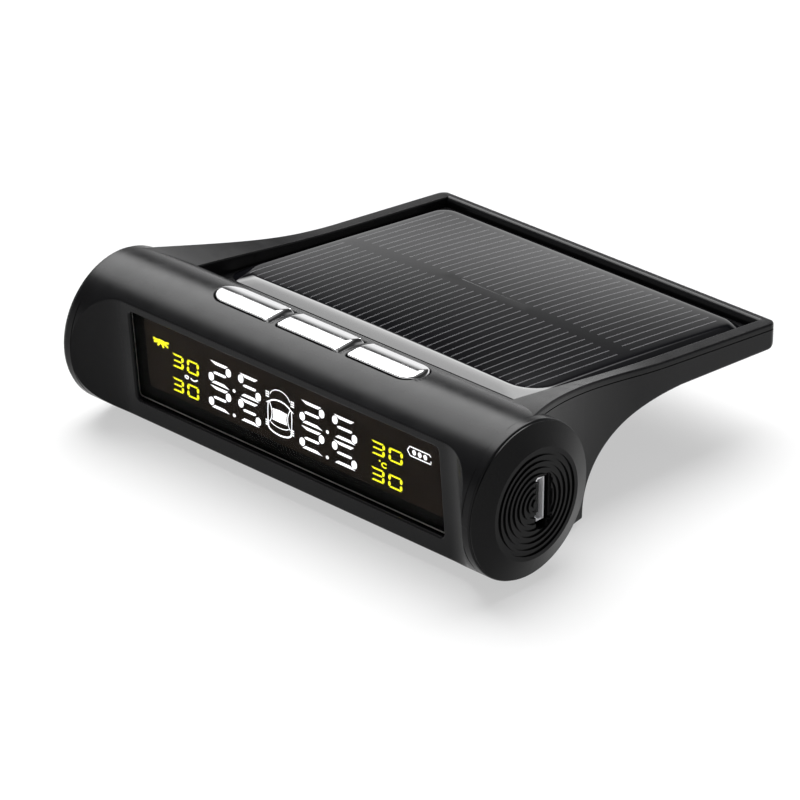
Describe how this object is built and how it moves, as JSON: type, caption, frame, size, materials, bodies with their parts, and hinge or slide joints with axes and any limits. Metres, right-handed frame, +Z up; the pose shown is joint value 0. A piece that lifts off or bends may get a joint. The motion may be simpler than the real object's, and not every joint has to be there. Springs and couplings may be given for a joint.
{
  "type": "tire pressure monitor",
  "caption": "Solar tyre pressure display for a dashboard: a tube with a lit window, chrome top keys, ringed end caps and a rear solar wing.",
  "frame": {"origin": "under the middle of the body, on the surface it stands on", "axes": "+X along the tube towards the charging socket, +Z up; the display faces -Y"},
  "size_m": [0.095, 0.082, 0.0277],
  "materials": {
    "shell_plastic": "satin",
    "cap_plastic": "glossy",
    "smoked_lens": "glossy",
    "lcd_glass": "glossy",
    "display_yellow": "lit",
    "display_white": "lit",
    "white_plastic": "satin",
    "circuit_board": "solder mask",
    "black_plastic": "satin",
    "key_chrome": "mirror",
    "socket_steel": "brushed",
    "battery_foil": "satin",
    "foam": "matte",
    "red_wire": "satin",
    "black_wire": "satin",
    "coil_brass": "polished",
    "solar_lens": "glossy",
    "solar_cell": "glossy",
    "screw_steel": "satin",
    "pad_rubber": "matte"
  },
  "bodies": {
    "housing": {"upper_shell": "shell_plastic", "lower_shell": "shell_plastic", "left_end_cap": "cap_plastic", "right_end_cap": "cap_plastic", "display_lens": "smoked_lens", "lcd_panel": "lcd_glass", "colour_filter": "display_yellow", "backlight_guide": "display_white", "lcd_holder": "white_plastic", "main_board": "circuit_board", "board_chips": "black_plastic", "key_board": "circuit_board", "board_header": "black_plastic", "left_switch": "black_plastic", "middle_switch": "black_plastic", "right_switch": "black_plastic", "usb_shell": "socket_steel", "usb_tongue": "black_plastic", "battery_cell": "battery_foil", "battery_foam": "foam", "battery_connector": "white_plastic", "battery_lead_red": "red_wire", "battery_lead_black": "black_wire", "buzzer": "black_plastic", "antenna_coil": "coil_brass", "vibration_sensor": "coil_brass", "solar_lens": "solar_lens", "solar_cells": "solar_cell", "solar_backboard": "circuit_board", "solar_gasket": "foam", "solar_lead_red": "red_wire", "solar_lead_black": "black_wire", "case_screws": "screw_steel", "board_screws": "screw_steel", "key_board_screws": "screw_steel", "base_pad": "pad_rubber"},
    "left_button": {"left_key": "key_chrome", "left_plunger": "white_plastic"},
    "middle_button": {"middle_key": "key_chrome", "middle_plunger": "white_plastic"},
    "right_button": {"right_key": "key_chrome", "right_plunger": "white_plastic"}
  },
  "joints": [
    {"name": "left_press", "type": "slide", "parent": "housing", "child": "left_button", "axis": [0, 0, -1], "range_m": [0, 0.0005], "stiffness_N_per_m": 800},
    {"name": "middle_press", "type": "slide", "parent": "housing", "child": "middle_button", "axis": [0, 0, -1], "range_m": [0, 0.0005], "stiffness_N_per_m": 800},
    {"name": "right_press", "type": "slide", "parent": "housing", "child": "right_button", "axis": [0, 0, -1], "range_m": [0, 0.0005], "stiffness_N_per_m": 800}
  ]
}
